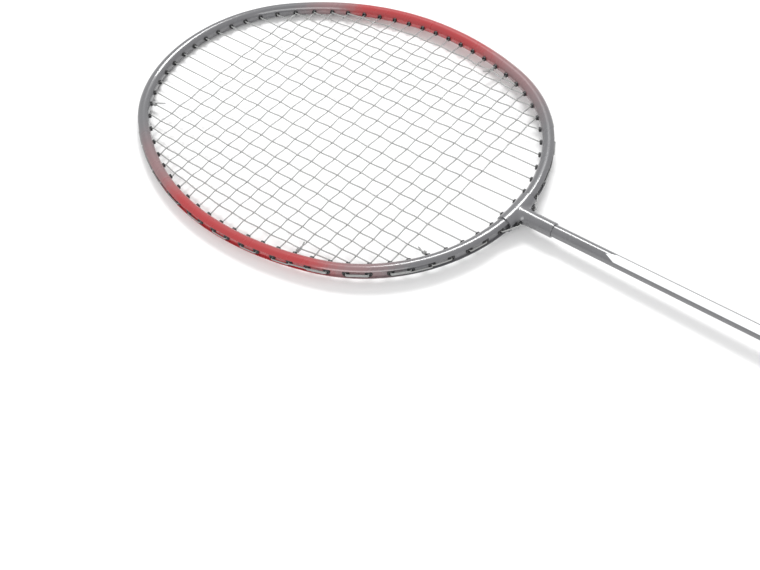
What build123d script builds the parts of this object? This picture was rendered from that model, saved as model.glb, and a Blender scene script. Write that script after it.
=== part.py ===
from build123d import *

import os
from math import acos, asin, atan2, cos, radians, sin, sqrt, tan

# Badminton racket with a steel head and shaft.
# Frame: millimetres. +X runs from the butt to the head top, +Z is normal to the
# string bed, +Y is the left side. The origin is the centre of the butt's end face.

# ---- Driving dimensions -------------------------------------------------------
# The head's sizes are taken over the rim's full round. The groove outside trims it.
total_length = 662.0  # butt face to the head top
head_length = 255.5  # along X
head_width = 199.0  # along Y
widest_from_throat = 122.5  # throat centreline to the widest place of the head
throat_arc_radius = 90.0  # rim centreline at the throat
top_arc_radius = 80.0  # rim centreline at the head top

fit_gap = 0.05  # between parts that slip together

rim_radius = 3.75  # outside of the rim tube
rim_wall = 0.45
rim_end_gap = 3.0  # between the two tube ends, inside the throat joint
groove_depth = 1.95  # channel along the outside of the rim, for flanges and strings
groove_floor = rim_radius - groove_depth  # from the tube's centreline
groove_lip_round = 0.25
groove_inner_round = 0.1

shaft_radius = 3.25
shaft_wall = 0.5
shaft_in_handle = 92.0  # length of shaft held inside the handle
shaft_joint_gap = 0.4  # between the shaft's end and the rim inside the joint

joint_collar_wall = 0.7
joint_stem_radius = shaft_radius + fit_gap + joint_collar_wall  # around the shaft
joint_stem_flare = 0.4
joint_stem_root_radius = joint_stem_radius + joint_stem_flare
joint_wall = 0.8
joint_root_step = 0.2  # the bar around the rim stands out at least this far from the stem
joint_bar_radius = max(rim_radius + fit_gap + joint_wall, joint_stem_root_radius + joint_root_step)
joint_stem_length = 21.5  # rim centreline to the end of the collar
joint_fillet = 4.0
joint_edge_round = 0.3
joint_seat_rise = 0.7
joint_seat_height = joint_bar_radius + joint_seat_rise  # two flat grommet seats
joint_hole_clearance = 1.6
joint_hole_offset = joint_stem_radius + joint_hole_clearance  # axis to those holes
joint_end_margin = 4.4
joint_half_width = joint_hole_offset + joint_end_margin  # along the rim, each way

grip_end = 150.0  # butt face to the front of the wooden core's octagon
core_width = 22.0  # octagon, across its side flats
core_depth = 20.0  # octagon, across its top and bottom flats
core_corner = 5.4  # width of each slanting flat, seen along Z
cone_length = 27.0
cone_tip_wall = 1.7
cone_tip_radius = shaft_radius + fit_gap + cone_tip_wall
cone_seat_length = 12.0  # round spigot of the core inside the cone
cone_seat_step = 2.0
cone_seat_radius = core_depth / 2 - cone_seat_step
grip_thickness = 1.8
tape_thickness = 0.3
tape_width = 13.0
tape_sink = 0.4  # how far the tape presses the wrap in, so that it doesn't stand proud
butt_disc = 3.0
butt_overhang = 1.4  # the disc stands this far outside the wrap
butt_corner_round = 2.0
butt_edge_round = 1.0
butt_skirt_length = 16.0
butt_skirt_thickness = 1.6  # at the disc, tapering away
butt_skirt_edge = 0.4
pin_radius = 1.0
pin_setback = 38.0
pin_place = grip_end - pin_setback  # the pin that locks the shaft

string_radius = 0.36
string_plane_gap = 0.06
string_level = string_radius + string_plane_gap  # centreline off the middle plane
inside_bend = 0.54  # where a string turns over a grommet
bend_radius = string_radius + inside_bend
inside_mouth_bend = 0.84
mouth_bend = string_radius + inside_mouth_bend
main_pitch = 9.3  # lengthwise strings, at the middle of the bed
main_closing = 0.13  # how their spacing closes towards the sides
cross_first = 29.0  # throat centreline to the nearest cross string
cross_pitch = 9.0
cross_opening = 0.03  # how the cross spacing opens towards the head top
least_bow = 0.2  # a main that would bow less than this runs straight
bow_points = 4
mains_each_side = 11
cross_count = 20

bore_clearance = 0.14
grommet_bore = string_level + string_radius + bore_clearance
grommet_wall = 0.43
barrel_radius = grommet_bore + grommet_wall
grommet_reach = 1.0  # how far a barrel stands inside the rim
flange_lip = 0.6
flange_radius = barrel_radius + flange_lip
groove_side_gap = 0.25
groove_half_width = flange_radius + groove_side_gap
joint_notch_half_width = 1.3  # lets a string out of the joint into the groove
joint_flange_lip = 0.45
joint_flange_radius = barrel_radius + joint_flange_lip
flange_height = 0.7
mouth_clearance = 0.3  # barrel end to the string's bend
flange_clearance = 0.22  # flange top to the string that crosses it
joint_string_rise = 0.7  # more at the joint, where the string falls away into the groove

knot_cover = 0.27
knot_radius = string_level + string_radius + knot_cover
knot_mouth_gap = 0.7
knot_setback = knot_radius + knot_mouth_gap  # string's bend to the middle of a knot
knot_entry_rise = 1.3  # in string levels, where the string goes into its knot
knot_tail_rise = 2.0  # in string levels, where the loose end comes out
tail_length = 5.0  # loose end of a string beyond its knot
main_tail_lift = 0.6  # rise of a tail for each millimetre inwards
cross_tail_lift = -0.25

# Where along the head each group of grommets ends, as a share from the throat.
zone_ends = {"throat": 0.12, "lower": 0.37, "middle": 0.63, "upper": 0.88, "top": 1.0}

# ---- Head outline --------------------------------------------------------------
# Each half of the oval is an end arc centred on the axis and two side arcs,
# tangent to it and to each other at the widest place.
head_top_x = total_length - rim_radius
throat_x = head_top_x - (head_length - 2 * rim_radius)
widest_x = throat_x + widest_from_throat
half_width = head_width / 2 - rim_radius
end_radius = {"throat": throat_arc_radius, "top": top_arc_radius}
end_tip = {"throat": throat_x, "top": head_top_x}
forward = {"throat": -1, "top": 1}


def side_radius(end):
    """Radius of the side arc that joins this end's arc to the widest place."""
    reach = abs(end_tip[end] - widest_x)
    radius = end_radius[end]
    return (reach**2 + half_width**2 - 2 * reach * radius) / (2 * (half_width - radius))


def end_centre(end):
    return Vector(end_tip[end] - forward[end] * end_radius[end], 0)


def side_centre(end):
    return Vector(widest_x, half_width - side_radius(end))


def meeting_angle(end):
    """Angle from the racket's axis to the point where end arc and side arc meet."""
    line = end_centre(end) - side_centre(end)
    return atan2(line.Y, forward[end] * line.X)


def rim_place(end, angle):
    """Centreline point and outward normal on the left side, by the angle of the
    normal to the racket's axis."""
    normal = Vector(forward[end] * cos(angle), sin(angle))
    if angle < meeting_angle(end):
        return end_centre(end) + normal * end_radius[end], normal
    return side_centre(end) + normal * side_radius(end), normal


mouth_depth = rim_radius + grommet_reach + mouth_clearance


def angle_at_row(end, y, depth=mouth_depth):
    """Where the curve that lies depth inside the centreline has this Y."""
    angle = asin((y - side_centre(end).Y) / (side_radius(end) - depth))
    if angle >= meeting_angle(end):
        return angle
    return asin(y / (end_radius[end] - depth))


def angle_at_column(end, x, depth=mouth_depth):
    """Where the curve that lies depth inside the centreline has this X."""
    across = forward[end] * (x - side_centre(end).X)
    angle = acos(across / (side_radius(end) - depth))
    if angle >= meeting_angle(end):
        return angle
    across = forward[end] * (x - end_centre(end).X)
    return acos(across / (end_radius[end] - depth))


# ---- String pattern ------------------------------------------------------------
def main_row(number):
    steps = number - 0.5
    return main_pitch * steps - main_closing * steps**2


def cross_column(number):
    steps = cross_count - number
    return throat_x + cross_first + cross_pitch * steps + cross_opening * steps**2


# Crosses 1 to 4 and 17 to 20 share their holes with mains 8 to 11. A shared hole
# stands between the place that the main wants and the one that the cross wants.
partners = {"top": {8: 1, 9: 2, 10: 3, 11: 4}, "throat": {8: 20, 9: 19, 10: 18, 11: 17}}
main_pull = {8: 0.75, 9: 0.35, 10: 0.15, 11: 0.0}


class Hole:
    """A drilled hole and its grommet: centreline point, outward normal, levels."""

    def __init__(self, end, angle, side, in_joint=False):
        point, normal = rim_place(end, angle)
        self.point = Vector(point.X, side * point.Y)
        self.normal = Vector(normal.X, side * normal.Y)
        self.side = side
        self.in_joint = in_joint
        self.seat = joint_seat_height if in_joint else groove_floor
        self.wall = joint_bar_radius if in_joint else rim_radius

    def at(self, distance, level=0.0):
        place = self.point + self.normal * distance
        return Vector(place.X, place.Y, level)

    def mouth(self, level):
        return self.at(-self.wall - grommet_reach - mouth_clearance, level)

    def crest(self, level):
        gap = flange_clearance + (joint_string_rise if self.in_joint else 0)
        return self.at(self.seat + flange_height + gap + string_radius, level)

    def plane(self, distance=0.0):
        """Across the hole's axis, with local +X along the rim away from the axis."""
        along = self.normal.cross(Vector(0, 0, self.side))
        return Plane(origin=self.at(distance), x_dir=along, z_dir=self.normal)


def main_hole(end, number, side):
    if end == "throat" and number == 1:
        return Hole(end, asin(joint_hole_offset / throat_arc_radius), side, in_joint=True)
    angle = angle_at_row(end, main_row(number))
    partner = partners[end].get(number)
    if partner:
        cross_angle = angle_at_column(end, cross_column(partner))
        angle = cross_angle + main_pull[number] * (angle - cross_angle)
    return Hole(end, angle, side)


left, right = 1, -1
main_holes = {
    (end, number, side): main_hole(end, number, side)
    for end in ("throat", "top")
    for number in range(1, mains_each_side + 1)
    for side in (left, right)
}
cross_holes = {}
for side in (left, right):
    for number in range(1, cross_count + 1):
        end = "top" if cross_column(number) > widest_x else "throat"
        shared = [main for main, cross in partners[end].items() if cross == number]
        if shared:
            cross_holes[number, side] = main_holes[end, shared[0], side]
        else:
            cross_holes[number, side] = Hole(end, angle_at_column(end, cross_column(number)), side)


# ---- String runs ---------------------------------------------------------------
# The mains lie in a plane just above the middle one, and the crosses just below.
def main_key(side, number):
    """Mains from the far right to the far left are -21, -19 ... -1, 1 ... 21."""
    return side * (2 * number - 1)


main_keys = [main_key(right, n) for n in range(mains_each_side, 0, -1)]
main_keys += [main_key(left, n) for n in range(1, mains_each_side + 1)]


def main_span(key):
    """The throat hole and the top hole of one lengthwise string."""
    side = left if key > 0 else right
    number = (abs(key) + 1) // 2
    return main_holes["throat", number, side], main_holes["top", number, side]


def cross_span(number):
    return cross_holes[number, right], cross_holes[number, left]


def bow_of(key):
    """How far a main stands out, in its middle, from the straight line between its
    two holes: the crosses hold it to its row."""
    throat, top = (hole.mouth(0) for hole in main_span(key))
    row = main_row((abs(key) + 1) // 2) * (1 if key > 0 else -1)
    return row - (throat.Y + top.Y) / 2


def main_run(key):
    """Points of one main between its holes, from the throat to the top."""
    throat, top = (hole.mouth(string_level) for hole in main_span(key))
    bow = bow_of(key)
    if abs(bow) < least_bow:
        return []
    shares = [(i + 0.5) / bow_points for i in range(bow_points)]
    return [throat + (top - throat) * k + Vector(0, bow * 4 * k * (1 - k)) for k in shares]


def rounded_route(points, tight):
    """Straight runs joined by tangent arcs. Each arc is as large as its two runs
    leave room for, or has the tight radius of its corner."""
    edges = []
    start = points[0]
    for i in range(1, len(points) - 1):
        into = (points[i] - points[i - 1]).normalized()
        away = (points[i + 1] - points[i]).normalized()
        half_turn = radians(into.get_angle(away)) / 2
        shorter = min((points[i] - points[i - 1]).length, (points[i + 1] - points[i]).length)
        cut = 0.45 * shorter
        if i in tight:
            cut = min(cut, tight[i] * tan(half_turn))
        first = points[i] - into * cut
        last = points[i] + away * cut
        sagitta = cut * tan(half_turn / 2)
        inward = (away - into).normalized()
        crown = (first + last) / 2 - inward * sagitta * cos(half_turn)
        edges.append(Edge.make_line(start, first))
        edges.append(Edge.make_three_point_arc(first, crown, last))
        start = last
    edges.append(Edge.make_line(start, points[-1]))
    return edges


def string_tube(points, tight):
    with BuildPart() as tube:
        with BuildLine() as route:
            add(rounded_route(points, tight))
        path = route.wire()
        with BuildSketch(Plane(origin=path @ 0, z_dir=path % 0)):
            Circle(string_radius)
        sweep(path=path, transition=Transition.RIGHT)
    return tube.part


class Knot:
    """The last turn of a string round the neighbour that stands in the same hole,
    just inside the grommet, with the loose end beyond it."""

    def __init__(self, hole, level, standing, lift):
        self.mouth = hole.mouth(-level)
        self.along = (standing - self.mouth).normalized()
        self.centre = self.mouth + self.along * knot_setback
        flat = Vector(self.along.X, self.along.Y).normalized()
        self.entry = hole.mouth(level) + flat * (knot_setback / 2)
        self.entry = Vector(self.entry.X, self.entry.Y, knot_entry_rise * level)
        self.entry_way = (self.entry - hole.mouth(level)).normalized()
        self.tail_way = (hole.normal * -1 + Vector(0, 0, lift)).normalized()
        self.tail_root = self.centre + Vector(0, 0, knot_tail_rise * level)

    def part(self):
        with BuildPart() as knot:
            with Locations(self.centre):
                Sphere(knot_radius)
            tail_start = Plane(origin=self.tail_root, z_dir=self.tail_way)
            with BuildSketch(tail_start):
                Circle(string_radius)
            extrude(amount=tail_length)
            with BuildSketch(Plane(origin=self.mouth, z_dir=self.along)):
                Circle(string_radius + fit_gap)
            extrude(amount=2 * knot_setback, mode=Mode.SUBTRACT)
            with BuildSketch(Plane(origin=self.entry, z_dir=self.entry_way * -1)):
                Circle(string_radius + fit_gap)
            extrude(amount=knot_setback, mode=Mode.SUBTRACT)
        return knot.part


def leg(first, last, run, level, before, after):
    """One string across the bed, with the points outside the rim before and after."""
    points = before + [first.crest(level), first.mouth(level)] + run
    points += [last.mouth(level), last.crest(level)] + after
    inside = len(before) + 1
    beyond = inside + len(run) + 1
    tight = {i: bend_radius for i in range(len(points)) if not inside < i < beyond}
    tight[inside] = tight[beyond] = mouth_bend
    return string_tube(points, tight)


def tie_off(knot, hole, level, via):
    """Points from an outer bridge over one hole and through the next to its knot."""
    return [via.crest(level), hole.crest(level), hole.mouth(level), knot.entry]


def middle(a, b, level):
    return (a.crest(level) + b.crest(level)) / 2


def whole_string(spans, level, before, after):
    """One string: each leg meets the next face to face in the middle of the outer
    bridge between them, and they are joined there. A span is the hole where its leg
    starts, the one where it ends, and the points between them."""
    legs = []
    for i, (first, last, run) in enumerate(spans):
        start = before if i == 0 else [middle(spans[i - 1][1], first, level)]
        finish = after if i == len(spans) - 1 else [middle(last, spans[i + 1][0], level)]
        legs.append(leg(first, last, run, level, start, finish))
    with BuildPart() as string:
        add(legs)
    return string.part


def write(part, name):
    part.label = name
    export_step(part, f"parts/{name}.step")
    return part


os.makedirs("parts", exist_ok=True)

# ---- Rim -----------------------------------------------------------------------
rim_end_angle = asin(rim_end_gap / 2 / throat_arc_radius)


def rim_route(start_angle):
    """Both halves of the oval as tangent arcs, from the left end at the throat
    round the head top to the right end."""
    spans = [
        ("throat", start_angle, meeting_angle("throat")),
        ("throat", meeting_angle("throat"), radians(90)),
        ("top", radians(90), meeting_angle("top")),
        ("top", meeting_angle("top"), 0),
    ]
    arcs = []
    for end, a, b in spans:
        arcs.append([rim_place(end, angle)[0] for angle in (a, (a + b) / 2, b)])
    mirrored = [[Vector(p.X, -p.Y) for p in points[::-1]] for points in arcs[::-1]]
    return [Edge.make_three_point_arc(*points) for points in arcs + mirrored]


all_holes = list(main_holes.values())
all_holes += [hole for hole in cross_holes.values() if hole not in all_holes]

def tube_outline(radius, floor, half_width, lip):
    """A round outline with a channel on local +X, between lips of this radius."""
    lip_centre = Vector(sqrt((radius - lip) ** 2 - (half_width + lip) ** 2), half_width + lip)
    angle = atan2(lip_centre.Y, lip_centre.X)
    crown_angle = (angle - radians(90)) / 2
    meeting = Vector(cos(angle), sin(angle)) * radius
    crown = lip_centre + Vector(cos(crown_angle), sin(crown_angle)) * lip
    side = Vector(lip_centre.X, half_width)
    lower = [Vector(point.X, -point.Y) for point in (meeting, crown, side)]
    with BuildSketch() as outline:
        with BuildLine():
            ThreePointArc(meeting, (-radius, 0), lower[0])
            ThreePointArc(*lower)
            Polyline(lower[2], (floor, -half_width), (floor, half_width), side)
            ThreePointArc(side, crown, meeting)
        make_face()
    return outline.face()


skin = tube_outline(rim_radius, groove_floor, groove_half_width, groove_lip_round)
hollow = tube_outline(
    rim_radius - rim_wall, groove_floor - rim_wall, groove_half_width + rim_wall, groove_inner_round
)

with BuildPart() as rim_tube:
    with BuildLine() as rim_line:
        add(rim_route(rim_end_angle))
    rim_path = rim_line.wire()
    rim_start_normal = rim_place("throat", rim_end_angle)[1]
    with BuildSketch(Plane(origin=rim_path @ 0, x_dir=rim_start_normal, z_dir=rim_path % 0)):
        add(skin)
        add(hollow, mode=Mode.SUBTRACT)
    sweep(path=rim_path)
    with Locations(*[hole.plane() for hole in all_holes]):
        Cylinder(barrel_radius + fit_gap, 3 * rim_radius, mode=Mode.SUBTRACT)
write(rim_tube.part, "rim_tube")

# ---- Throat joint ---------------------------------------------------------------
joint_angle = joint_half_width / throat_arc_radius
stem_end = throat_x - joint_stem_length
joint_bar_ends = [rim_place("throat", joint_angle * share)[0] for share in (1, 0)]
joint_bar_ends.append(Vector(joint_bar_ends[0].X, -joint_bar_ends[0].Y))
joint_holes = [hole for hole in all_holes if hole.in_joint]

with BuildPart() as t_joint:
    with BuildLine():
        bar_arc = ThreePointArc(*joint_bar_ends)
    with BuildSketch(Plane(origin=bar_arc @ 0, z_dir=bar_arc % 0)):
        Circle(joint_bar_radius)
    sweep(path=bar_arc)
    with BuildSketch(Plane.XY):
        with BuildLine():
            Polyline(
                (stem_end, 0),
                (stem_end, joint_stem_radius),
                (stem_end + joint_stem_length / 2, joint_stem_radius),
                (throat_x, joint_stem_root_radius),
                (throat_x, 0),
                close=True,
            )
        make_face()
    revolve(axis=Axis.X)
    root = t_joint.edges().filter_by(lambda edge: edge.geom_type not in (GeomType.LINE, GeomType.CIRCLE))
    fillet(root, joint_fillet)
    collar_edge = t_joint.faces().filter_by(Axis.X).sort_by(Axis.X)[0].edges()
    fillet(collar_edge, joint_edge_round)
    with Locations(*[hole.plane(joint_seat_height) for hole in joint_holes]):
        Cylinder(
            joint_flange_radius + fit_gap,
            joint_fillet * 2,
            align=(Align.CENTER, Align.CENTER, Align.MIN),
            mode=Mode.SUBTRACT,
        )
    with Locations(*[hole.plane() for hole in joint_holes]):
        Cylinder(barrel_radius + fit_gap, 4 * joint_bar_radius, mode=Mode.SUBTRACT)
    with Locations(*[hole.plane(rim_radius) for hole in joint_holes]):
        Box(
            joint_half_width,
            2 * joint_notch_half_width,
            joint_fillet * 2,
            align=(Align.MIN, Align.CENTER, Align.MIN),
            mode=Mode.SUBTRACT,
        )
    with BuildSketch(Plane(origin=bar_arc @ 0, z_dir=bar_arc % 0)):
        Circle(rim_radius + fit_gap)
    sweep(path=bar_arc, mode=Mode.SUBTRACT)
    with BuildSketch(Plane.YZ.offset(stem_end)):
        Circle(shaft_radius + fit_gap)
    extrude(amount=joint_stem_length, mode=Mode.SUBTRACT)
write(t_joint.part, "throat_joint")

# ---- Shaft ----------------------------------------------------------------------
shaft_start = grip_end - shaft_in_handle
shaft_end = throat_x - rim_radius - shaft_joint_gap

with BuildPart() as shaft_tube:
    with BuildSketch(Plane.YZ.offset(shaft_start)):
        Circle(shaft_radius)
        Circle(shaft_radius - shaft_wall, mode=Mode.SUBTRACT)
    extrude(amount=shaft_end - shaft_start)
    with BuildSketch(Plane.XY):
        with Locations((pin_place, 0)):
            Circle(pin_radius + fit_gap)
    extrude(amount=shaft_radius * 2, both=True, mode=Mode.SUBTRACT)
write(shaft_tube.part, "shaft_tube")


# ---- Handle ---------------------------------------------------------------------
def octagon(width, depth, corner):
    """Half the cross-section's outline in Y and Z, repeated round by symmetry."""
    y, z = width / 2, depth / 2
    quarter = [(y, z - corner), (y - corner, z)]
    top = quarter + [(-a, b) for a, b in quarter[::-1]]
    return top + [(a, -b) for a, b in top[::-1]]


def octagon_at(x, grow):
    """The core's octagon at this place along X, grown all round. Each slanting
    flat moves out as far as the others."""
    corner = core_corner + grow * (2 - sqrt(2))
    with BuildSketch(Plane.YZ.offset(x)) as outline:
        with BuildLine():
            Polyline(*octagon(core_width + 2 * grow, core_depth + 2 * grow, corner), close=True)
        make_face()
    return outline.sketch.face()


def prism(start, end, grow_start, grow_end=None):
    """A solid with the core's octagon grown by these amounts at its two ends."""
    grow_end = grow_start if grow_end is None else grow_end
    with BuildPart() as body:
        loft([octagon_at(start, grow_start), octagon_at(end, grow_end)], ruled=True)
    return body.part


core_start = butt_disc + fit_gap
skirt_end = butt_disc + butt_skirt_length
cone_start = grip_end + fit_gap

with BuildPart() as handle_core:
    extrude(octagon_at(core_start, 0), amount=grip_end - core_start)
    with BuildSketch(Plane.YZ.offset(grip_end)):
        Circle(cone_seat_radius)
    extrude(amount=cone_seat_length)
    with BuildSketch(Plane.YZ.offset(shaft_start - fit_gap)):
        Circle(shaft_radius + fit_gap)
    extrude(amount=total_length, mode=Mode.SUBTRACT)
    with BuildSketch(Plane.XY):
        with Locations((pin_place, 0)):
            Circle(pin_radius + fit_gap)
    extrude(amount=core_depth, both=True, mode=Mode.SUBTRACT)
write(handle_core.part, "handle_core")

with BuildPart() as shaft_pin:
    with BuildSketch(Plane.XY):
        with Locations((pin_place, 0)):
            Circle(pin_radius)
    extrude(amount=core_depth / 2, both=True)
write(shaft_pin.part, "shaft_pin")

with BuildSketch(Plane.YZ.offset(cone_start + cone_length)) as cone_end:
    Circle(cone_tip_radius)
with BuildPart() as handle_cone:
    loft([octagon_at(cone_start, grip_thickness), cone_end.sketch.face()])
    cone_tip = handle_cone.faces().sort_by(Axis.X)[-1].edges()
    fillet(cone_tip, joint_edge_round)
    with BuildSketch(Plane.YZ.offset(cone_start)):
        Circle(cone_seat_radius + fit_gap)
    extrude(amount=cone_seat_length, mode=Mode.SUBTRACT)
    with BuildSketch(Plane.YZ.offset(cone_start)):
        Circle(shaft_radius + fit_gap)
    extrude(amount=cone_length * 2, mode=Mode.SUBTRACT)
write(handle_cone.part, "handle_cone")

skirt_out = butt_skirt_thickness
skirt = prism(butt_disc, skirt_end, skirt_out, butt_skirt_edge)
skirt_room = prism(butt_disc, skirt_end, fit_gap)
with BuildPart() as butt_cap:
    extrude(octagon_at(0, grip_thickness + skirt_out + butt_overhang), amount=butt_disc)
    fillet(butt_cap.edges().filter_by(Axis.X), butt_corner_round)
    fillet(butt_cap.faces().sort_by(Axis.X)[0].edges(), butt_edge_round)
    add(skirt)
    add(skirt_room, mode=Mode.SUBTRACT)
write(butt_cap.part, "butt_cap")

wrap_start = butt_disc + fit_gap
tape_start = grip_end - tape_width
tape_under = grip_thickness - tape_sink + fit_gap
flare = prism(wrap_start, skirt_end, grip_thickness + skirt_out, grip_thickness)
sleeve = prism(skirt_end, tape_start, grip_thickness)
pressed = prism(tape_start, grip_end, grip_thickness - tape_sink)
flare_room = prism(wrap_start, skirt_end, skirt_out + fit_gap, butt_skirt_edge + fit_gap)
sleeve_room = prism(wrap_start, grip_end, fit_gap)
with BuildPart() as grip_wrap:
    add([flare, sleeve, pressed])
    add([flare_room, sleeve_room], mode=Mode.SUBTRACT)
write(grip_wrap.part, "grip_wrap")

tape_outside = prism(tape_start + fit_gap, grip_end, tape_under + tape_thickness)
tape_room = prism(tape_start + fit_gap, grip_end, tape_under)
with BuildPart() as finishing_tape:
    add(tape_outside)
    add(tape_room, mode=Mode.SUBTRACT)
write(finishing_tape.part, "finishing_tape")


# ---- Grommets -------------------------------------------------------------------
def grommet(wall, seat, flange):
    """A barrel through both walls with a domed flange outside. Local +Z points
    out of the head, and the origin is on the rim's centreline."""
    inner_end = -wall - grommet_reach
    top = seat + fit_gap + flange_height
    edge = grommet_wall / 3
    with BuildPart() as piece:
        with BuildSketch(Plane.XZ):
            with BuildLine():
                Polyline(
                    (grommet_bore + edge, inner_end),
                    (grommet_bore, inner_end + edge),
                    (grommet_bore, top - edge),
                    (grommet_bore + edge, top),
                    (flange - flange_height, top),
                )
                ThreePointArc(
                    (flange - flange_height, top),
                    (flange - flange_height * (1 - sqrt(0.5)), top - flange_height * (1 - sqrt(0.5))),
                    (flange, top - flange_height),
                )
                Polyline(
                    (flange, top - flange_height),
                    (barrel_radius, seat + fit_gap),
                    (barrel_radius, inner_end + edge),
                    (barrel_radius - edge, inner_end),
                    (grommet_bore + edge, inner_end),
                )
            make_face()
        revolve(axis=Axis.Z)
    return piece.part


rim_grommet = grommet(rim_radius, groove_floor, flange_radius)
joint_grommet = grommet(joint_bar_radius, joint_seat_height, joint_flange_radius)


def grommet_group(piece, holes, name):
    with BuildPart() as group:
        with Locations(*[hole.plane() for hole in holes]):
            add(piece)
    return write(group.part, name)


def zone(hole):
    """Which stretch of the rim a grommet stands in."""
    share = (hole.point.X - throat_x) / (head_top_x - throat_x)
    return next(name for name, end in zone_ends.items() if share <= end)


grommet_group(joint_grommet, joint_holes, "joint_grommets")
for side, side_name in ((left, "left"), (right, "right")):
    for zone_name in zone_ends:
        holes = [h for h in all_holes if h.side == side and not h.in_joint and zone(h) == zone_name]
        grommet_group(rim_grommet, holes, f"{zone_name}_grommets_{side_name}")

# ---- Strings and knots ------------------------------------------------------------
# The mains are one string. It starts at main 11 on the right, at the throat, and
# its outer bridges join mains 2-3, 4-5 ... at one end and 1-2, 3-4 ... at the other.
level = string_level
main_knots = {
    side: Knot(cross_holes[15, side], level, cross_holes[15, -side].mouth(-level), main_tail_lift)
    for side in (left, right)
}
main_ends = {
    side: tie_off(main_knots[side], cross_holes[15, side], level, cross_holes[16, side])
    for side in (left, right)
}
main_spans = []
for i, key in enumerate(main_keys):
    throat, top = main_span(key)
    run = main_run(key)
    upward = i % 2 == 0
    main_spans.append((throat, top, run) if upward else (top, throat, run[::-1]))
main_string = whole_string(main_spans, level, main_ends[right][::-1], main_ends[left])
write(main_string, "main_string")

# The crosses are the second string. It starts at cross 1, at the head top, on the
# left, and ends at cross 20 on the left.
first_tie = main_holes["top", 6, left]
last_tie = main_holes["throat", 6, left]
cross_knots = [
    Knot(first_tie, -level, last_tie.mouth(level), cross_tail_lift),
    Knot(last_tie, -level, first_tie.mouth(level), cross_tail_lift),
]
first_end = tie_off(cross_knots[0], first_tie, -level, main_holes["top", 7, left])[::-1]
last_end = tie_off(cross_knots[1], last_tie, -level, main_holes["throat", 7, left])
cross_spans = []
for number in range(1, cross_count + 1):
    right_hole, left_hole = cross_span(number)
    rightward = number % 2 == 1
    ends = (left_hole, right_hole) if rightward else (right_hole, left_hole)
    cross_spans.append((*ends, []))
cross_string = whole_string(cross_spans, -level, first_end, last_end)
write(cross_string, "cross_string")

main_knot_solids = [knot.part() for knot in main_knots.values()]
with BuildPart() as main_string_knots:
    add(main_knot_solids)
write(main_string_knots.part, "main_string_knots")

cross_knot_solids = [knot.part() for knot in cross_knots]
with BuildPart() as cross_string_knots:
    add(cross_knot_solids)
write(cross_string_knots.part, "cross_string_knots")
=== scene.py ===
import math

import bpy
from mathutils import Matrix, Vector


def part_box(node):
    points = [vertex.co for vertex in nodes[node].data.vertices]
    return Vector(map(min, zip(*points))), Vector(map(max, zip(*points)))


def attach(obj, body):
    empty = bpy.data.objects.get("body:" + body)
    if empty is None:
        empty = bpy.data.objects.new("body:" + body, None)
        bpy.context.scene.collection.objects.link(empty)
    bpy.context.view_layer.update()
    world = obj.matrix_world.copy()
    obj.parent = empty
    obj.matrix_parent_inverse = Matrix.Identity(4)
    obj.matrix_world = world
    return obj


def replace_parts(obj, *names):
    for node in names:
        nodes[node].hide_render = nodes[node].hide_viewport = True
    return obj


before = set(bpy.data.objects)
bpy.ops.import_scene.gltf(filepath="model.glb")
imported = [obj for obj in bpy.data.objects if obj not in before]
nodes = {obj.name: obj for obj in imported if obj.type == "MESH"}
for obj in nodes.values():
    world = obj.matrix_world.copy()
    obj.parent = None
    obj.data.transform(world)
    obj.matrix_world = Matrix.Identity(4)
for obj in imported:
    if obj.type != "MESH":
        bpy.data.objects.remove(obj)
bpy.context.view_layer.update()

# Badminton racket. Metres, in the row frame: +X from the butt to the head top, +Z
# normal to the strings, +Y to the left. The frame, joint, shaft, cone, cap and
# grommets are the CAD's own; the woven strings, knots, grip wrap and finishing tape
# are made here, on the CAD's routes and sizes.

# ---- Sizes, as the CAD has them ---------------------------------------------------
total_length = 0.662
head_length = 0.2555
head_width = 0.199
widest_from_throat = 0.1225
end_radius = {"throat": 0.090, "top": 0.080}
rim_radius = 0.00375
groove_floor = 0.0018  # the rim grommets sit in a groove
joint_bar_radius = 0.0046
joint_seat_height = 0.0053
joint_hole_offset = 0.0056
grommet_reach = 0.001
mouth_clearance = 0.0003
flange_height = 0.0007
flange_clearance = 0.00022
joint_string_rise = 0.0007  # the string falls away into the groove there
string_radius = 0.00036
string_level = 0.00042
bend_radius = 0.0009
mouth_bend = 0.0012
main_pitch = 0.0093
main_closing = 0.00013
cross_first = 0.029
cross_pitch = 0.009
cross_opening = 0.00003
mains_each_side = 11
cross_count = 20
knot_setback = 0.00175
tail_length = 0.005

grip_end = 0.150
core_flats = (0.011, 0.010, 0.01103)  # axis to the side, top and slanting flats
grip_thickness = 0.0018
tape_sink = 0.0004  # the tape presses the wrap in
skirt_end = 0.019
skirt_thickness = 0.0016
skirt_edge = 0.0004
cap_disc = 0.003
tape_width = 0.013
fit_gap = 0.00005

left, right = 1, -1
up = Vector((0, 0, 1))


# ---- Camera, floor and light -------------------------------------------------------
camera_place = Vector((0.20818, 0.29321, 0.38706))
camera_right = Vector((-0.72039, -0.67359, -0.16525))
camera_up = Vector((0.45209, -0.63674, 0.62464))
camera_back = Vector((-0.52598, 0.37528, 0.76323))
camera_lens = 48.56
camera_shift = 0.125


def add_camera():
    data = bpy.data.cameras.new("camera")
    data.lens = camera_lens
    data.sensor_width = 36
    data.shift_x = camera_shift
    data.clip_start = 0.01
    data.clip_end = 20
    camera = bpy.data.objects.new("camera", data)
    bpy.context.scene.collection.objects.link(camera)
    turn = Matrix((camera_right, camera_up, camera_back)).transposed()
    camera.matrix_world = Matrix.Translation(camera_place) @ turn.to_4x4()
    bpy.context.scene.camera = camera


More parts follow.
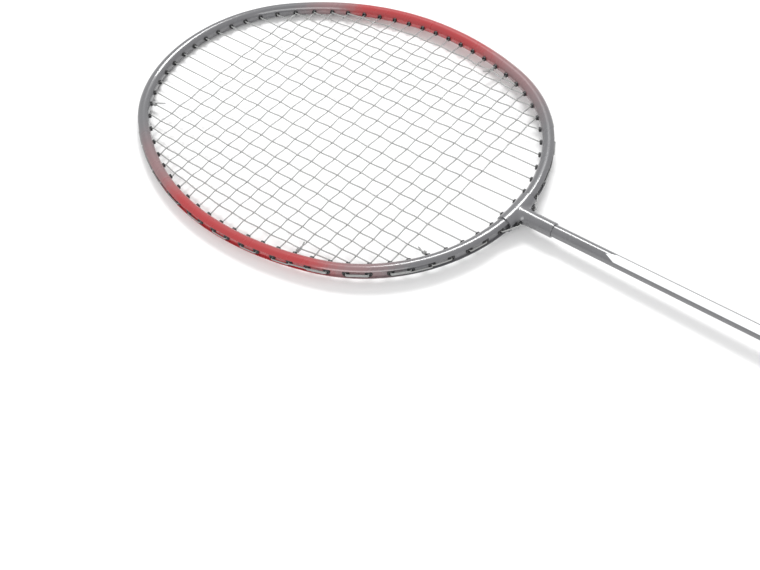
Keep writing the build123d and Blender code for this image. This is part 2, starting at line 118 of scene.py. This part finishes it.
def add_light(name, place, target, size, power):
    data = bpy.data.lights.new(name, "AREA")
    data.shape = "RECTANGLE"
    data.size, data.size_y = size
    data.energy = power
    light = bpy.data.objects.new(name, data)
    bpy.context.scene.collection.objects.link(light)
    light.location = place
    light.rotation_mode = "QUATERNION"
    light.rotation_quaternion = (Vector(target) - Vector(place)).to_track_quat("-Z", "Y")


def add_floor():
    """The racket lies on its butt cap and on the head top, so the floor is the plane
    that touches both."""
    butt_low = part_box("butt_cap")[0].z
    rise = -rim_radius - butt_low
    slope = rise / total_length
    reach = 3.0
    floor_gap = 0.0001
    corners = [(-reach, -reach), (reach, -reach), (reach, reach), (-reach, reach)]
    mesh = bpy.data.meshes.new("floor")
    points = [(x, y, butt_low + slope * x - floor_gap) for x, y in corners]
    mesh.from_pydata(points, [], [(0, 1, 2, 3)])
    floor = bpy.data.objects.new("floor", mesh)
    bpy.context.scene.collection.objects.link(floor)
    mesh.materials.append(floor_paper())


# ---- Material tools ----------------------------------------------------------------
class Shader:
    """One procedural material. Positions are the row frame's, in metres."""

    def __init__(self, name, **values):
        self.material = bpy.data.materials.new(name)
        self.material.use_nodes = True
        self.tree = self.material.node_tree
        self.surface = self.tree.nodes["Principled BSDF"]
        for socket, value in values.items():
            self.surface.inputs[socket.replace("_", " ")].default_value = value
        self.place = self.node("ShaderNodeTexCoord").outputs["Object"]

    def node(self, kind, **settings):
        made = self.tree.nodes.new(kind)
        for key, value in settings.items():
            setattr(made, key, value)
        return made

    def feed(self, socket, value):
        if isinstance(value, bpy.types.NodeSocket):
            self.tree.links.new(value, socket)
        else:
            socket.default_value = value

    def set(self, name, value):
        self.feed(self.surface.inputs[name], value)

    def math(self, operation, *values):
        made = self.node("ShaderNodeMath", operation=operation)
        for socket, value in zip(made.inputs, values):
            self.feed(socket, value)
        return made.outputs[0]

    def scaled(self, stretch):
        made = self.node("ShaderNodeMapping")
        self.feed(made.inputs["Vector"], self.place)
        made.inputs["Scale"].default_value = stretch
        return made.outputs[0]

    def noise(self, scale, detail=2.0, roughness=0.5, where=None):
        made = self.node("ShaderNodeTexNoise")
        self.feed(made.inputs["Vector"], where or self.place)
        made.inputs["Scale"].default_value = scale
        made.inputs["Detail"].default_value = detail
        made.inputs["Roughness"].default_value = roughness
        return made.outputs["Fac"]

    def cells(self, scale, feature):
        made = self.node("ShaderNodeTexVoronoi", feature=feature)
        self.feed(made.inputs["Vector"], self.place)
        made.inputs["Scale"].default_value = scale
        return made.outputs["Distance"]

    def axes(self):
        made = self.node("ShaderNodeSeparateXYZ")
        self.feed(made.inputs[0], self.place)
        return made.outputs["X"], made.outputs["Y"], made.outputs["Z"]

    def spread(self, value, low, high, to_low=0.0, to_high=1.0, smooth=False):
        made = self.node("ShaderNodeMapRange")
        made.interpolation_type = "SMOOTHSTEP" if smooth else "LINEAR"
        for name, given in zip(
            ("Value", "From Min", "From Max", "To Min", "To Max"),
            (value, low, high, to_low, to_high),
        ):
            self.feed(made.inputs[name], given)
        return made.outputs["Result"]

    def ramp(self, factor, stops):
        """Colours along 0 to 1, eased between the stops."""
        made = self.node("ShaderNodeValToRGB")
        ramp = made.color_ramp
        ramp.interpolation = "EASE"
        while len(ramp.elements) < len(stops):
            ramp.elements.new(0.5)
        for element, (place, _) in zip(ramp.elements, stops):
            element.position = place
        for element, (_, colour) in zip(ramp.elements, stops):
            element.color = (*colour, 1)
        self.feed(made.inputs["Fac"], factor)
        return made.outputs["Color"]

    def mix(self, factor, a, b, blend="MIX"):
        made = self.node("ShaderNodeMix", data_type="RGBA", blend_type=blend)
        self.feed(made.inputs[0], factor)
        for socket, colour in ((made.inputs[6], a), (made.inputs[7], b)):
            self.feed(socket, colour if isinstance(colour, bpy.types.NodeSocket) else (*colour, 1))
        return made.outputs[2]

    def bump(self, height, depth, strength):
        made = self.node("ShaderNodeBump")
        made.inputs["Strength"].default_value = strength
        made.inputs["Distance"].default_value = depth
        self.feed(made.inputs["Height"], height)
        return made.outputs["Normal"]


def tint(colour, share):
    return tuple(channel * share for channel in colour)


grey_paint = (0.125, 0.125, 0.132)
red_paint = (0.36, 0.018, 0.022)
dusky_paint = (0.225, 0.125, 0.130)
white_paint = (0.82, 0.83, 0.84)
black_plastic = (0.012, 0.012, 0.013)


def paint_grain(shader):
    """The slight orange peel of sprayed enamel and its faint dust and rubs."""
    peel = shader.noise(1400, 2.0)
    dust = shader.spread(shader.noise(2600, 1.0), 0.70, 0.78)
    rubs = shader.noise(90, 4.0, 0.6, shader.scaled((1.0, 0.25, 1.0)))
    shader.set("Roughness", shader.math("ADD", shader.spread(rubs, 0.3, 0.7, 0.20, 0.34), dust))
    height = shader.math("ADD", peel, shader.math("MULTIPLY", dust, 0.6))
    shader.set("Normal", shader.bump(height, 0.00004, 0.5))
    return rubs


def worn_grey(shader, rubs):
    """The grey enamel, a little lighter where it is rubbed."""
    return shader.mix(shader.spread(rubs, 0.3, 0.8), tint(grey_paint, 0.93), tint(grey_paint, 1.08))


def rim_enamel():
    """Grey enamel that fades to red along both sides of the head. The two sides fade
    at different places, so each has its own colour ramp along X."""
    shader = Shader("rim_enamel", Metallic=0.0, Coat_Weight=0.9, Coat_Roughness=0.06)
    x, y, _ = shader.axes()
    rubs = paint_grain(shader)
    mist = shader.math("MULTIPLY", shader.math("SUBTRACT", shader.noise(420, 3.0), 0.5), 0.012)
    throat, top = 0.405, 0.662
    along = shader.spread(shader.math("ADD", x, mist), throat, top)

    def stops(places):
        start, rise, full, fall, fade, end = [(place - throat) / (top - throat) for place in places]
        colours = (grey_paint, dusky_paint, red_paint, red_paint, dusky_paint, grey_paint)
        return list(zip((start, rise, full, fall, fade, end), colours))

    near = shader.ramp(along, stops((0.428, 0.452, 0.478, 0.555, 0.590, 0.630)))
    far = shader.ramp(along, stops((0.428, 0.470, 0.512, 0.580, 0.600, 0.626)))
    side = shader.spread(y, -0.004, 0.004)
    colour = shader.mix(side, far, near)
    wear = shader.spread(rubs, 0.35, 0.75, 0.0, 0.22)
    colour = shader.mix(wear, colour, tint(grey_paint, 1.25), "SOFT_LIGHT")
    shader.set("Base Color", colour)
    return shader.material


def joint_enamel():
    shader = Shader("joint_enamel", Coat_Weight=0.9, Coat_Roughness=0.05)
    rubs = paint_grain(shader)
    shader.set("Base Color", worn_grey(shader, rubs))
    return shader.material


def shaft_enamel():
    """Grey enamel with a plain white panel, pointed at its front end, and two thin
    rings behind it."""
    shader = Shader("shaft_enamel", Coat_Weight=0.9, Coat_Roughness=0.05)
    x, y, z = shader.axes()
    rubs = paint_grain(shader)
    panel_front, panel_back, point_length = 0.360, 0.262, 0.007
    half_panel = 0.0030
    lean = shader.math("ADD", y, shader.math("MULTIPLY", z, -0.35))
    sideways = shader.math("ABSOLUTE", lean)
    cut_back = shader.math("MULTIPLY", sideways, point_length / half_panel)
    front = shader.math("SUBTRACT", panel_front, cut_back)
    inside = shader.math("MULTIPLY", shader.spread(x, panel_back, panel_back + 0.0001),
                         shader.spread(shader.math("SUBTRACT", front, x), 0.0, 0.0001))
    upper = shader.spread(z, -0.0006, -0.0004)
    middle = shader.spread(sideways, 0.0021, 0.0022, 1.0, 0.0)
    panel = shader.math("MULTIPLY", shader.math("MULTIPLY", inside, upper), middle)
    rings = 0.0
    for place, width in ((0.254, 0.0035), (0.2475, 0.0012)):
        away = shader.math("ABSOLUTE", shader.math("SUBTRACT", x, place))
        ring = shader.math("LESS_THAN", away, width / 2)
        rings = shader.math("ADD", ring, rings)
    colour = shader.mix(panel, worn_grey(shader, rubs), white_paint)
    shader.set("Base Color", shader.mix(rings, colour, tint(red_paint, 0.9)))
    return shader.material


def moulded_plastic(name, colour, roughness, grain=1800, depth=0.00005):
    shader = Shader(name, Specular_IOR_Level=0.5)
    fine = shader.noise(grain, 3.0, 0.6)
    broad = shader.noise(120, 3.0)
    shader.set("Base Color", shader.mix(broad, tint(colour, 0.75), tint(colour, 1.5)))
    shader.set("Roughness", shader.spread(broad, 0.3, 0.7, roughness - 0.06, roughness + 0.08))
    shader.set("Normal", shader.bump(fine, depth, 0.6))
    return shader.material


def string_nylon():
    """White translucent nylon over a twisted core: the filaments show as a fine
    diagonal grain."""
    shader = Shader(
        "string_nylon", IOR=1.53, Transmission_Weight=0.15, Coat_Weight=0.3, Coat_Roughness=0.08
    )
    grain = shader.noise(3200, 2.0, 0.5, shader.scaled((1.0, 0.35, 1.0)))
    age = shader.noise(60, 2.0)
    shader.set("Base Color", shader.mix(age, (0.30, 0.31, 0.31), (0.40, 0.40, 0.39)))
    shader.set("Roughness", shader.spread(grain, 0.3, 0.7, 0.22, 0.40))
    shader.set("Normal", shader.bump(grain, 0.00003, 0.5))
    return shader.material


def pin_steel():
    shader = Shader("pin_steel", Metallic=1.0)
    drawn = shader.noise(900, 2.0, 0.5, shader.scaled((1.0, 1.0, 0.05)))
    shader.set("Base Color", shader.mix(drawn, (0.48, 0.48, 0.49), (0.62, 0.62, 0.63)))
    shader.set("Roughness", shader.spread(drawn, 0.3, 0.7, 0.25, 0.42))
    shader.set("Normal", shader.bump(drawn, 0.00002, 0.4))
    return shader.material


def core_wood():
    shader = Shader("core_wood")
    grain = shader.noise(260, 5.0, 0.62, shader.scaled((0.06, 1.0, 1.0)))
    stops = [(0.3, (0.42, 0.27, 0.14)), (0.7, (0.66, 0.48, 0.29))]
    shader.set("Base Color", shader.ramp(grain, stops))
    shader.set("Roughness", shader.spread(grain, 0.3, 0.7, 0.55, 0.75))
    shader.set("Normal", shader.bump(grain, 0.0001, 0.5))
    return shader.material


def grip_skin():
    """Soft synthetic skin: fine leather cells, rows of punched holes along the strip with
    painted shade inside them, and a shine where hands have polished the corners."""
    shader = Shader("grip_skin", Sheen_Weight=0.15, Sheen_Roughness=0.5)
    skin = shader.cells(1700, "DISTANCE_TO_EDGE")
    pores = shader.noise(4200, 2.0)
    handling = shader.noise(45, 3.0)
    uv = shader.node("ShaderNodeUVMap", uv_map="strip").outputs["UV"]
    grid = shader.node("ShaderNodeSeparateXYZ")
    shader.feed(grid.inputs[0], uv)
    hole_pitch = 0.0042
    row = shader.math("DIVIDE", grid.outputs["Y"], hole_pitch)
    shift = shader.math("MULTIPLY", shader.math("MODULO", shader.math("FLOOR", row), 2.0), 0.5)
    column = shader.math("ADD", shader.math("DIVIDE", grid.outputs["X"], hole_pitch), shift)
    offsets = []
    for value in (row, column):
        cell = shader.math("SUBTRACT", shader.math("FRACT", value), 0.5)
        offsets.append(shader.math("MULTIPLY", cell, cell))
    distance = shader.math("SQRT", shader.math("ADD", *offsets))
    hole = shader.spread(distance, 0.10, 0.15, 1.0, 0.0, smooth=True)
    base = shader.mix(handling, (0.016, 0.016, 0.018), (0.036, 0.035, 0.037))
    # The punched holes are painted near black: painted shade inside the holes, which are only a
    # bump.
    shader.set("Base Color", shader.mix(hole, base, (0.003, 0.003, 0.003)))
    shader.set("Roughness", shader.spread(handling, 0.3, 0.7, 0.50, 0.72))
    height = shader.math("ADD", shader.spread(skin, 0.0, 0.12), shader.math("MULTIPLY", pores, 0.3))
    height = shader.math("SUBTRACT", height, shader.math("MULTIPLY", hole, 3.0))
    shader.set("Normal", shader.bump(height, 0.00012, 0.7))
    return shader.material


def tape_vinyl():
    shader = Shader("tape_vinyl", Coat_Weight=0.3, Coat_Roughness=0.15)
    stretch = shader.noise(500, 3.0, 0.55, shader.scaled((0.15, 1.0, 1.0)))
    broad = shader.noise(120, 2.0)
    shader.set("Base Color", shader.mix(broad, (0.30, 0.013, 0.016), (0.42, 0.020, 0.022)))
    shader.set("Roughness", shader.spread(stretch, 0.3, 0.7, 0.28, 0.42))
    shader.set("Normal", shader.bump(stretch, 0.00005, 0.5))
    return shader.material


def floor_paper():
    shader = Shader("floor_paper")
    tooth = shader.noise(300, 3.0)
    shader.set("Base Color", shader.mix(tooth, (0.90, 0.90, 0.90), (0.92, 0.92, 0.92)))
    shader.set("Roughness", shader.spread(tooth, 0.3, 0.7, 0.85, 0.95))
    shader.set("Normal", shader.bump(tooth, 0.00005, 0.2))
    return shader.material


# ---- Mesh tools ---------------------------------------------------------------------
def new_piece(name, vertices, faces, material, slot):
    """A smooth piece that rides on the racket."""
    mesh = bpy.data.meshes.new(name)
    mesh.from_pydata(vertices, [], faces)
    mesh.materials.append(material)
    mesh.polygons.foreach_set("use_smooth", [True] * len(faces))
    mesh.update()
    piece = bpy.data.objects.new(name, mesh)
    bpy.context.scene.collection.objects.link(piece)
    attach(piece, "root")
    return piece


def tube_mesh(path, radius, sides=10):
    """Vertices and faces of a closed round tube whose rings turn as little as they
    can from one point of its path to the next."""
    ways = []
    for i in range(len(path)):
        ways.append((path[min(i + 1, len(path) - 1)] - path[max(i - 1, 0)]).normalized())
    across = ways[0].orthogonal().normalized()
    vertices, faces = [], []
    for i, (point, way) in enumerate(zip(path, ways)):
        if i:
            across = ways[i - 1].rotation_difference(way) @ across
            across = (across - way * across.dot(way)).normalized()
        other = way.cross(across)
        for k in range(sides):
            angle = math.tau * k / sides
            vertices.append(point + (across * math.cos(angle) + other * math.sin(angle)) * radius)
    for i in range(len(path) - 1):
        for k in range(sides):
            a, b = i * sides + k, i * sides + (k + 1) % sides
            faces.append((a, b, b + sides, a + sides))
    faces.append(tuple(reversed(range(sides))))
    faces.append(tuple(range(len(vertices) - sides, len(vertices))))
    return vertices, faces


def rounded(route):
    """A dense path through (point, radius) pairs. A corner with a radius is turned on
    a small curve, and a point without one is passed through."""
    steps = 6
    path = [route[0][0]]
    for (before, _), (corner, radius), (after, _) in zip(route, route[1:], route[2:]):
        into, away = corner - before, after - corner
        if not radius:
            path.append(corner)
            continue
        half_turn = into.angle(away) / 2
        cut = min(radius * math.tan(half_turn), 0.45 * into.length, 0.45 * away.length)
        first = corner - into.normalized() * cut
        last = corner + away.normalized() * cut
        for step in range(steps + 1):
            t = step / steps
            path.append(first.lerp(corner, t).lerp(corner.lerp(last, t), t))
    path.append(route[-1][0])
    return path


# ---- Head outline and string holes ---------------------------------------------------
head_top_x = total_length - rim_radius
throat_x = head_top_x - (head_length - 2 * rim_radius)
widest_x = throat_x + widest_from_throat
half_width = head_width / 2 - rim_radius
end_tip = {"throat": throat_x, "top": head_top_x}
forward = {"throat": -1, "top": 1}
mouth_depth = rim_radius + grommet_reach + mouth_clearance


def side_radius(end):
    reach = abs(end_tip[end] - widest_x)
    radius = end_radius[end]
    return (reach**2 + half_width**2 - 2 * reach * radius) / (2 * (half_width - radius))


def end_centre(end):
    return Vector((end_tip[end] - forward[end] * end_radius[end], 0, 0))


def side_centre(end):
    return Vector((widest_x, half_width - side_radius(end), 0))


def meeting_angle(end):
    line = end_centre(end) - side_centre(end)
    return math.atan2(line.y, forward[end] * line.x)


def rim_place(end, angle):
    """Centreline point and outward normal on the left side, by the normal's angle."""
    normal = Vector((forward[end] * math.cos(angle), math.sin(angle), 0))
    if angle < meeting_angle(end):
        return end_centre(end) + normal * end_radius[end], normal
    return side_centre(end) + normal * side_radius(end), normal


def angle_at_row(end, y):
    angle = math.asin((y - side_centre(end).y) / (side_radius(end) - mouth_depth))
    if angle >= meeting_angle(end):
        return angle
    return math.asin(y / (end_radius[end] - mouth_depth))


def angle_at_column(end, x):
    across = forward[end] * (x - side_centre(end).x)
    angle = math.acos(across / (side_radius(end) - mouth_depth))
    if angle >= meeting_angle(end):
        return angle
    return math.acos(forward[end] * (x - end_centre(end).x) / (end_radius[end] - mouth_depth))


def main_row(number):
    steps = number - 0.5
    return main_pitch * steps - main_closing * steps**2


def cross_column(number):
    steps = cross_count - number
    return throat_x + cross_first + cross_pitch * steps + cross_opening * steps**2


partners = {"top": {8: 1, 9: 2, 10: 3, 11: 4}, "throat": {8: 20, 9: 19, 10: 18, 11: 17}}
main_pull = {8: 0.75, 9: 0.35, 10: 0.15, 11: 0.0}


class Hole:
    """A grommet's place: centreline point, outward normal and how far out it sits."""

    def __init__(self, end, angle, side, in_joint=False):
        point, normal = rim_place(end, angle)
        self.point = Vector((point.x, side * point.y, 0))
        self.normal = Vector((normal.x, side * normal.y, 0))
        self.seat = joint_seat_height + joint_string_rise if in_joint else groove_floor
        self.wall = joint_bar_radius if in_joint else rim_radius

    def mouth(self, level):
        """Just inside the head, where a string leaves the barrel."""
        return self.point - self.normal * (self.wall + grommet_reach + mouth_clearance) + up * level

    def crest(self, level):
        """Just outside the head, where a string turns over the flange."""
        out = self.seat + flange_height + flange_clearance + string_radius
        return self.point + self.normal * out + up * level


def main_hole(end, number, side):
    if end == "throat" and number == 1:
        return Hole(end, math.asin(joint_hole_offset / end_radius[end]), side, in_joint=True)
    angle = angle_at_row(end, main_row(number))
    partner = partners[end].get(number)
    if partner:
        cross_angle = angle_at_column(end, cross_column(partner))
        angle = cross_angle + main_pull[number] * (angle - cross_angle)
    return Hole(end, angle, side)


main_holes = {
    (end, number, side): main_hole(end, number, side)
    for end in end_tip
    for number in range(1, mains_each_side + 1)
    for side in (left, right)
}


def cross_hole(number, side):
    end = "top" if cross_column(number) > widest_x else "throat"
    for main, cross in partners[end].items():
        if cross == number:
            return main_holes[end, main, side]
    return Hole(end, angle_at_column(end, cross_column(number)), side)


cross_numbers = range(1, cross_count + 1)
cross_holes = {(n, side): cross_hole(n, side) for n in cross_numbers for side in (left, right)}
main_order = [(right, n) for n in range(mains_each_side, 0, -1)]
main_order += [(left, n) for n in range(1, mains_each_side + 1)]

# ---- Weave -----------------------------------------------------------------------------
# The outer mains share holes with the outer crosses, so they begin to cross later.
first_crossed = {8: 2, 9: 3, 10: 4, 11: 5}
weave_height = 0.00038  # how far a string rises or dips where it crosses another
steps_between = 6


def crosses_met(number):
    first = first_crossed.get(number, 1)
    return range(first, cross_count + 2 - first)


def cross_x(number):
    return cross_holes[number, left].mouth(0).x


def main_y(side, number, x):
    """The main's row at this X: between its holes, it bows out to its own row."""
    throat = main_holes["throat", number, side].mouth(0)
    top = main_holes["top", number, side].mouth(0)
    share = (x - throat.x) / (top.x - throat.x)
    bow = side * main_row(number) - (throat.y + top.y) / 2
    return throat.y + (top.y - throat.y) * share + bow * 4 * share * (1 - share)


def over(main_index, cross_number):
    """+1 where the main passes over the cross, and -1 where it passes under."""
    return 1 if (main_index + cross_number) % 2 else -1


def woven(start, crossings, end, bend_at):
    """Points from start through the (place along, height) pairs to end. The height
    eases from one crossing to the next, as taut strings press on each other."""
    stops = [(0.0, start.z)] + crossings + [(1.0, end.z)]
    points = []
    for (a, low), (b, high) in zip(stops, stops[1:]):
        for step in range(1, steps_between + 1):
            if b == 1.0 and step == steps_between:
                break
            t = step / steps_between
            ease = (1 - math.cos(math.pi * t)) / 2
            points.append(bend_at(a + (b - a) * t, low + (high - low) * ease))
    return points


def main_points(index):
    """One main from its throat hole to its top hole, without the holes themselves."""
    side, number = main_order[index]
    start = main_holes["throat", number, side].mouth(string_level)
    end = main_holes["top", number, side].mouth(string_level)
    crossings = []
    for cross in reversed(crosses_met(number)):
        share = (cross_x(cross) - start.x) / (end.x - start.x)
        crossings.append((share, weave_height * over(index, cross)))

    def at(share, z):
        x = start.x + (end.x - start.x) * share
        return Vector((x, main_y(side, number, x), z))

    return woven(start, crossings, end, at)


def cross_points(cross):
    """One cross from its right hole to its left hole."""
    start = cross_holes[cross, right].mouth(-string_level)
    end = cross_holes[cross, left].mouth(-string_level)
    crossings = []
    for index, (side, number) in enumerate(main_order):
        if cross in crosses_met(number):
            share = (main_y(side, number, start.x) - start.y) / (end.y - start.y)
            crossings.append((share, -weave_height * over(index, cross)))

    def at(share, z):
        return Vector((start.x, start.y + (end.y - start.y) * share, z))

    return woven(start, crossings, end, at)


def string_route(legs, level, before, after):
    """The whole string: through the first hole of each leg, across the head, out of
    the last hole and over the rim to the next leg."""
    route = list(before)
    for first, last, points in legs:
        route += [(first.crest(level), bend_radius), (first.mouth(level), mouth_bend)]
        route += [(point, 0) for point in points]
        route += [(last.mouth(level), mouth_bend), (last.crest(level), bend_radius)]
    return route + list(after)


class Knot:
    """Two turns of a string round the neighbour that stands in the same hole, and the
    loose end beyond them."""

    turns = 2.25
    steps = 14

    def __init__(self, hole, via, level, standing, lift):
        self.lead = [(via.crest(level), bend_radius), (hole.crest(level), bend_radius)]
        self.lead.append((hole.mouth(level), mouth_bend / 2))
        root = hole.mouth(-level)
        along = (standing - root).normalized()
        rise = (up - along * up.z * along.z).normalized() * math.copysign(1, level)
        aside = along.cross(rise)
        reach = 2 * string_radius + 0.00004
        turn_pitch = 2 * string_radius + 0.00003
        count = round(self.turns * self.steps)
        self.coil = []
        for i in range(count + 1):
            turn = i / self.steps
            angle = math.tau * turn
            centre = root + along * (knot_setback * 0.55 + turn_pitch * turn)
            self.coil.append(centre + (rise * math.cos(angle) + aside * math.sin(angle)) * reach)
        tail_way = (-hole.normal + up * lift).normalized()
        out = self.coil[-1]
        leave = (self.coil[-1] - self.coil[-2]).normalized()
        bend = out + leave * string_radius * 2
        curl = aside * 0.0006
        self.tail = [out + leave * string_radius, bend + tail_way * 0.0006]
        for share in (0.4, 0.7, 1.0):
            self.tail.append(bend + tail_way * tail_length * share + curl * share**2)

    def piece(self, name, material):
        path = rounded([(p, 0) for p in self.coil] + [(p, bend_radius) for p in self.tail])
        return new_piece(name, *tube_mesh(path, string_radius * 0.97, 12), material, "string_nylon")

    def entry(self):
        return self.lead + [(self.coil[0], 0)]


def standing_point(hole, level, points, distance=0.0035):
    """A point on the neighbour string, a little way in from its hole."""
    root = hole.mouth(level)
    return min(points, key=lambda p: abs((p - root).length - distance))


def make_strings(nylon):
    tied = {}
    for side in (left, right):
        hole = cross_holes[15, side]
        standing = standing_point(hole, -string_level, cross_points(15))
        tied[side] = Knot(hole, cross_holes[16, side], string_level, standing, 0.6)
    legs = []
    for index, (side, number) in enumerate(main_order):
        throat, top = main_holes["throat", number, side], main_holes["top", number, side]
        points = main_points(index)
        legs.append((throat, top, points) if index % 2 == 0 else (top, throat, points[::-1]))
    route = string_route(legs, string_level, tied[right].entry()[::-1], tied[left].entry())
    tube = tube_mesh(rounded(route), string_radius)
    mains = new_piece("woven_mains", *tube, nylon, "string_nylon")
    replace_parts(mains, "main_string")
    for side, name in ((left, "main_knot_left"), (right, "main_knot_right")):
        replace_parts(tied[side].piece(name, nylon), "main_string_knots")

    ends = []
    for end in ("top", "throat"):
        hole = main_holes[end, 6, left]
        sixth = main_order.index((left, 6))
        standing = standing_point(hole, string_level, main_points(sixth))
        ends.append(Knot(hole, main_holes[end, 7, left], -string_level, standing, -0.25))
    legs = []
    for cross in cross_numbers:
        points = cross_points(cross)
        low, high = cross_holes[cross, right], cross_holes[cross, left]
        legs.append((high, low, points[::-1]) if cross % 2 else (low, high, points))
    route = string_route(legs, -string_level, ends[0].entry()[::-1], ends[1].entry())
    tube = tube_mesh(rounded(route), string_radius)
    crosses = new_piece("woven_crosses", *tube, nylon, "string_nylon")
    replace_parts(crosses, "cross_string")
    for knot, name in zip(ends, ("cross_knot_top", "cross_knot_throat")):
        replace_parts(knot.piece(name, nylon), "cross_string_knots")


# ---- Grip ---------------------------------------------------------------------------
wrap_start = cap_disc + fit_gap
tape_start = grip_end - tape_width
strip_width = 0.0235  # along the handle, from one turn's edge to the next
lap_width = 0.0035  # how much of a turn lies on the one before it
lap_height = 0.00045
around_steps = 128


def smooth_step(low, high, value):
    share = min(max((value - low) / (high - low), 0), 1)
    return share * share * (3 - 2 * share)


def octagon_reach(angle, grow, sharpness):
    """Axis to the surface of the core's octagon grown by this much, at an angle from
    +Y to +Z. The corners are rounder the lower the sharpness is."""
    side, top, slant = (flat + grow for flat in core_flats)
    total = 0.0
    for k, flat in enumerate((side, slant, top, slant)):
        total += abs(math.cos(angle - k * math.pi / 4) / flat) ** sharpness
    return total ** (-1 / sharpness)


def under_wrap(x):
    """How far the cap's skirt lifts the wrap off the core."""
    share = min(max((x - cap_disc) / (skirt_end - cap_disc), 0), 1)
    lift = skirt_thickness + (skirt_edge - skirt_thickness) * share
    return lift * (1 - smooth_step(skirt_end, skirt_end + 0.001, x)) + fit_gap


def wrap_outside(x, angle):
    """Growth of the core's octagon at the wrap's outer face, with the overlap of each
    turn on the last one and the strip's softened edges."""
    share = min(max((x - cap_disc) / (skirt_end - cap_disc), 0), 1)
    grow = grip_thickness + skirt_thickness * (1 - share)
    turn = x / strip_width - angle / math.tau
    place = (turn % 1) * strip_width
    lap = smooth_step(0, 0.0006, place) * (1 - smooth_step(lap_width, lap_width * 2.2, place))
    seam = math.exp(-((min(place, strip_width - place) / 0.0005) ** 2))
    crown = 0.00008 * math.sin(math.pi * place / strip_width)
    texture = lap * lap_height - seam * 0.00022 + crown
    pressed = smooth_step(tape_start - 0.0004, tape_start, x)
    return grow - tape_sink * pressed + (texture - 0.0001) * (1 - pressed)


def ring(x, outline):
    """One ring of points round the handle at X, by a function of the angle."""
    points = []
    for k in range(around_steps):
        angle = math.tau * k / around_steps
        reach = outline(angle)
        points.append(Vector((x, reach * math.cos(angle), reach * math.sin(angle))))
    return points


def closed_sleeve(rings):
    """Vertices and faces of a sleeve from rings that run along its outside and back
    along its inside."""
    vertices = [point for loop in rings for point in loop]
    faces = []
    for i in range(len(rings)):
        a = i * around_steps
        b = (i + 1) % len(rings) * around_steps
        for k in range(around_steps):
            after = (k + 1) % around_steps
            faces.append((a + k, b + k, b + after, a + after))
    return vertices, faces


def add_strip_uv(piece):
    """Metres along the strip and across it, for the rows of punched holes."""
    layer = piece.data.uv_layers.new(name="strip")
    girth = math.tau * (core_flats[0] + grip_thickness)
    for polygon in piece.data.polygons:
        angles = []
        for index in polygon.vertices:
            point = piece.data.vertices[index].co
            angles.append(math.atan2(point.z, point.y) % math.tau)
        wraps = max(angles) - min(angles) > math.pi
        for loop, index, angle in zip(polygon.loop_indices, polygon.vertices, angles):
            angle += math.tau if wraps and angle < math.pi else 0
            x = piece.data.vertices[index].co.x
            across = x - angle / math.tau * strip_width
            layer.data[loop].uv = (girth * angle / math.tau, across)


def make_grip(skin):
    step = 0.0006
    count = round((grip_end - fit_gap - wrap_start) / step)
    places = [wrap_start + (grip_end - fit_gap - wrap_start) * i / count for i in range(count + 1)]
    soft, crisp = 26, 90
    rings = []
    for x in places:
        rings.append(ring(x, lambda angle: octagon_reach(angle, wrap_outside(x, angle), soft)))
    edge_turn = 0.0003
    for i in (0, -1):
        x = places[i]
        rings[i] = ring(
            x, lambda angle: octagon_reach(angle, wrap_outside(x, angle) - edge_turn, soft)
        )
    for x in reversed(places[::4] + places[-1:]):
        rings.append(ring(x, lambda angle: octagon_reach(angle, under_wrap(x), crisp)))
    piece = new_piece("wound_grip", *closed_sleeve(rings), skin, "grip_wrap")
    add_strip_uv(piece)
    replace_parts(piece, "grip_wrap")


def make_tape(vinyl):
    """The band that holds the strip's end: nearly two turns of thin vinyl, so that its
    free end makes a small step, with a few tension wrinkles."""
    thickness = 0.00028
    wrinkle_height = 0.00005
    free_end = math.radians(70)
    count = 26
    soft = 26
    bed = grip_thickness - tape_sink
    end = grip_end - fit_gap

    def outside(x, angle):
        step = thickness * 0.8 * smooth_step(0, 0.05, (angle - free_end) % math.tau)
        fade = math.sin(math.pi * (x - tape_start) / tape_width)
        wrinkle = wrinkle_height * math.sin(5 * angle + x * 900) * fade
        return bed + fit_gap + thickness * 0.7 + step * 0.5 + wrinkle

    rings = []
    for i in range(count + 1):
        x = tape_start + (end - tape_start) * i / count
        rings.append(ring(x, lambda angle: octagon_reach(angle, outside(x, angle), soft)))
    for i in range(count, -1, -1):
        x = tape_start + (end - tape_start) * i / count
        rings.append(ring(x, lambda angle: octagon_reach(angle, bed + 0.00002, soft)))
    piece = new_piece("finishing_band", *closed_sleeve(rings), vinyl, "finishing_tape")
    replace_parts(piece, "finishing_tape")


# ---- The racket -----------------------------------------------------------------------
def dress(names, material):
    """Gives CAD nodes their material."""
    for name in names:
        mesh = nodes[name].data
        mesh.materials.clear()
        mesh.materials.append(material)


dress(["rim_tube"], rim_enamel())
dress(["throat_joint"], joint_enamel())
dress(["shaft_tube"], shaft_enamel())
dress(["shaft_pin"], pin_steel())
dress(["handle_core"], core_wood())
dress(["handle_cone"], moulded_plastic("cone_plastic", (0.014, 0.014, 0.015), 0.32, 1500, 0.00003))
dress(["butt_cap"], moulded_plastic("cap_plastic", (0.016, 0.016, 0.017), 0.50, 1100, 0.00008))
grommets = [name for name in nodes if "grommets" in name]
dress(grommets, moulded_plastic("grommet_plastic", black_plastic, 0.38))
make_strings(string_nylon())
make_grip(grip_skin())
make_tape(tape_vinyl())

world = bpy.data.worlds.new("studio")
world.use_nodes = True
world.node_tree.nodes["Background"].inputs["Color"].default_value = (1, 1, 1, 1)
world.node_tree.nodes["Background"].inputs["Strength"].default_value = 0.75
bpy.context.scene.world = world
bpy.context.scene.view_settings.view_transform = "Standard"
add_light("key", (0.75, -0.55, 0.95), (0.5, 0, 0), (0.5, 0.35), 9)
add_light("fill", (0.1, 0.9, 0.8), (0.45, 0, 0), (0.9, 0.6), 6)
add_floor()
add_camera()
